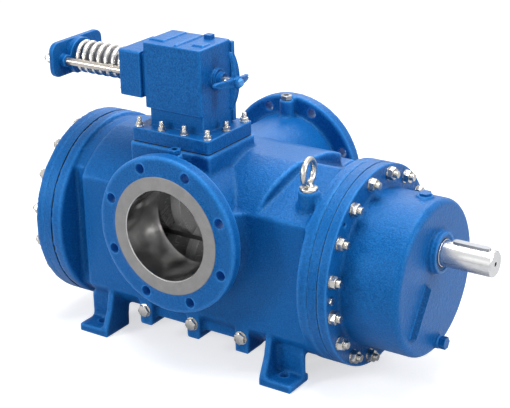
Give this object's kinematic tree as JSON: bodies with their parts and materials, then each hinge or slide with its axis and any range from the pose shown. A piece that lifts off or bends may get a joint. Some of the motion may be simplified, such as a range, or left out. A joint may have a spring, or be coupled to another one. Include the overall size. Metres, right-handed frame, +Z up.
{
  "type": "twin screw pump",
  "caption": "Foot-mounted twin screw pump with flanged side ports, gear case, keyed shaft end and a spring-loaded relief valve on top.",
  "frame": {"origin": "on the base plane, at the centre of the four foot bolts", "axes": "+X along the shafts towards the coupling end, -Y towards the suction port, +Z up"},
  "size_m": [1.041, 0.516, 0.6895],
  "materials": {
    "blue_paint": "semi-gloss machine enamel over castings",
    "bright_steel": "bright zinc-plated steel",
    "machined_steel": "ground and turned steel",
    "dark_steel": "oiled dark steel",
    "bronze": "machined bronze",
    "black_seal": "matt black seal material"
  },
  "bodies": {
    "pump": {"pump_casing": "blue_paint", "screw_liner": "machined_steel", "drive_end_bracket": "blue_paint", "non_drive_end_bracket": "blue_paint", "gear_case_cover": "blue_paint", "non_drive_end_cover": "blue_paint", "drive_end_gaskets": "black_seal", "non_drive_end_gaskets": "black_seal", "drive_end_studs": "bright_steel", "non_drive_end_studs": "bright_steel", "jack_screw": "bright_steel", "eye_bolt": "bright_steel", "port_plugs": "dark_steel", "lug_bolts": "dark_steel", "drain_plug": "blue_paint", "filler_plug": "blue_paint", "shaft_lip_seal": "black_seal", "seal_seats": "dark_steel", "bearing_outer_rings": "machined_steel", "drive_end_clamp_plate": "dark_steel", "non_drive_end_clamp_plate": "dark_steel", "valve_body": "blue_paint", "valve_gasket": "black_seal", "valve_studs": "bright_steel", "valve_top_plug": "blue_paint", "valve_seat_ring": "bronze", "spring_bonnet": "blue_paint", "bonnet_bolts": "bright_steel", "tie_rods": "bright_steel", "tie_rod_nuts": "bright_steel", "spring_end_plate": "blue_paint", "relief_spring": "bright_steel", "gland": "blue_paint", "gland_packing": "black_seal"},
    "drive_rotor": {"drive_shaft": "machined_steel", "drive_screw_left": "machined_steel", "drive_screw_right": "machined_steel", "drive_gear": "dark_steel", "drive_gear_key": "dark_steel", "drive_bearing_rings": "machined_steel", "drive_seal_rings": "bronze", "drive_lock_nuts": "dark_steel", "coupling_key": "machined_steel"},
    "idler_rotor": {"idler_shaft": "machined_steel", "idler_screw_left": "machined_steel", "idler_screw_right": "machined_steel", "idler_gear": "dark_steel", "idler_gear_key": "dark_steel", "idler_bearing_rings": "machined_steel", "idler_seal_rings": "bronze", "idler_lock_nuts": "dark_steel"},
    "relief_rod": {"relief_stem": "bright_steel", "relief_disc": "bronze", "spring_plate": "dark_steel"},
    "lifting_tip": {"spindle_tip": "bronze"},
    "lifting_handwheel": {"lifting_spindle": "bright_steel", "handwheel": "blue_paint", "handwheel_nut": "bright_steel"}
  },
  "joints": [
    {"name": "drive_rotor_spin", "type": "hinge", "parent": "pump", "child": "drive_rotor", "pos_m": [0, 0, 0.298], "axis": [1, 0, 0], "continuous": true},
    {"name": "idler_rotor_spin", "type": "hinge", "parent": "pump", "child": "idler_rotor", "pos_m": [0, 0, 0.174], "axis": [1, 0, 0], "continuous": true},
    {"name": "relief_lift", "type": "slide", "parent": "pump", "child": "relief_rod", "axis": [-1, 0, 0], "range_m": [0, 0.012], "stiffness_N_per_m": 50000, "springref_m": -0.01, "deforming": ["relief_spring"]},
    {"name": "spindle_travel", "type": "slide", "parent": "pump", "child": "lifting_tip", "axis": [-1, 0, 0], "range_m": [0, 0.01]},
    {"name": "handwheel_turn", "type": "hinge", "parent": "lifting_tip", "child": "lifting_handwheel", "pos_m": [0.06, -0.086, 0.6095], "axis": [-1, 0, 0], "range_deg": [0, 720]}
  ],
  "couplings": [
    {"joint": "idler_rotor_spin", "follows": "drive_rotor_spin", "ratio": -1},
    {"joint": "spindle_travel", "follows": "handwheel_turn", "m_per_rad": 0.0007957}
  ]
}
